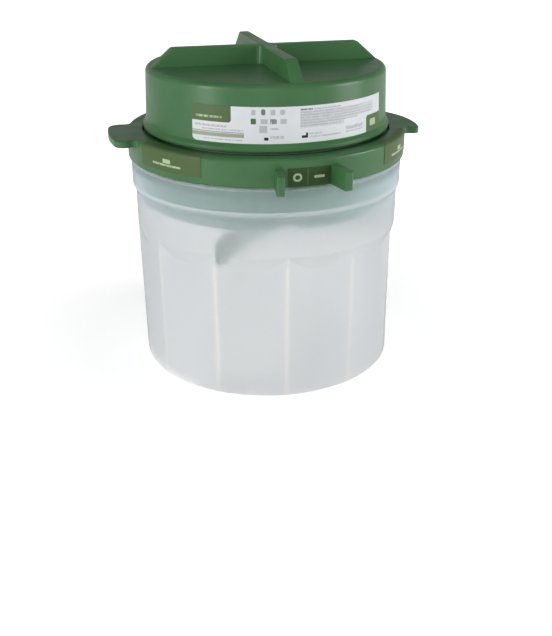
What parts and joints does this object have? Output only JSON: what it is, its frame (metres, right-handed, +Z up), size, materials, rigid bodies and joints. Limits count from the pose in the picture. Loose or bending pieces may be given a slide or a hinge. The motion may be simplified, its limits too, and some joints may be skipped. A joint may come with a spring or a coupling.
{
  "type": "biopsy specimen container",
  "caption": "Wide translucent specimen pot with a clamping screw ring, a sealing plug and a turning liquid reservoir in the lid that opens ports into the pot.",
  "frame": {"origin": "middle of the pot's flat base, on the axis of the pot and of the lid", "axes": "+Z up along the axis; -Y is the front, where the pair of fins and the middle of the drum's label are; the two ears are near +X and -X"},
  "size_m": [0.1566, 0.1543, 0.1634],
  "materials": {
    "pot_plastic": "natural translucent polypropylene, satin",
    "lid_plastic": "satin moulded",
    "label_film": "satin film",
    "olive_film": "satin film",
    "dark_olive_film": "satin film",
    "sealing_rubber": "matte silicone",
    "bearing_plastic": "matte",
    "clip_steel": "spring steel"
  },
  "bodies": {
    "pot": {"jar": "pot_plastic"},
    "lid": {"plug": "lid_plastic", "rim_gasket": "sealing_rubber", "valve_gasket": "sealing_rubber", "thrust_washer": "bearing_plastic", "retaining_clip": "clip_steel", "spreader": "lid_plastic"},
    "ring": {"screw_ring": "lid_plastic", "ring_label_left": "olive_film", "ring_label_right": "olive_film", "indicator_label": "dark_olive_film"},
    "drum": {"reservoir": "lid_plastic", "reservoir_label": "label_film", "rotor": "lid_plastic", "face_seal": "sealing_rubber"}
  },
  "joints": [
    {"name": "lid_lift", "type": "slide", "parent": "pot", "child": "lid", "axis": [0, 0, 1], "range_m": [0, 0.05]},
    {"name": "ring_turn", "type": "hinge", "parent": "lid", "child": "ring", "pos_m": [0, 0, 0.117], "axis": [0, 0, 1], "range_deg": [0, 720]},
    {"name": "drum_turn", "type": "hinge", "parent": "lid", "child": "drum", "pos_m": [0, 0, 0.1396], "axis": [0, 0, 1], "range_deg": [0, 60]}
  ],
  "couplings": [
    {"joint": "ring_turn", "follows": "lid_lift", "rad_per_m": 251.33}
  ]
}
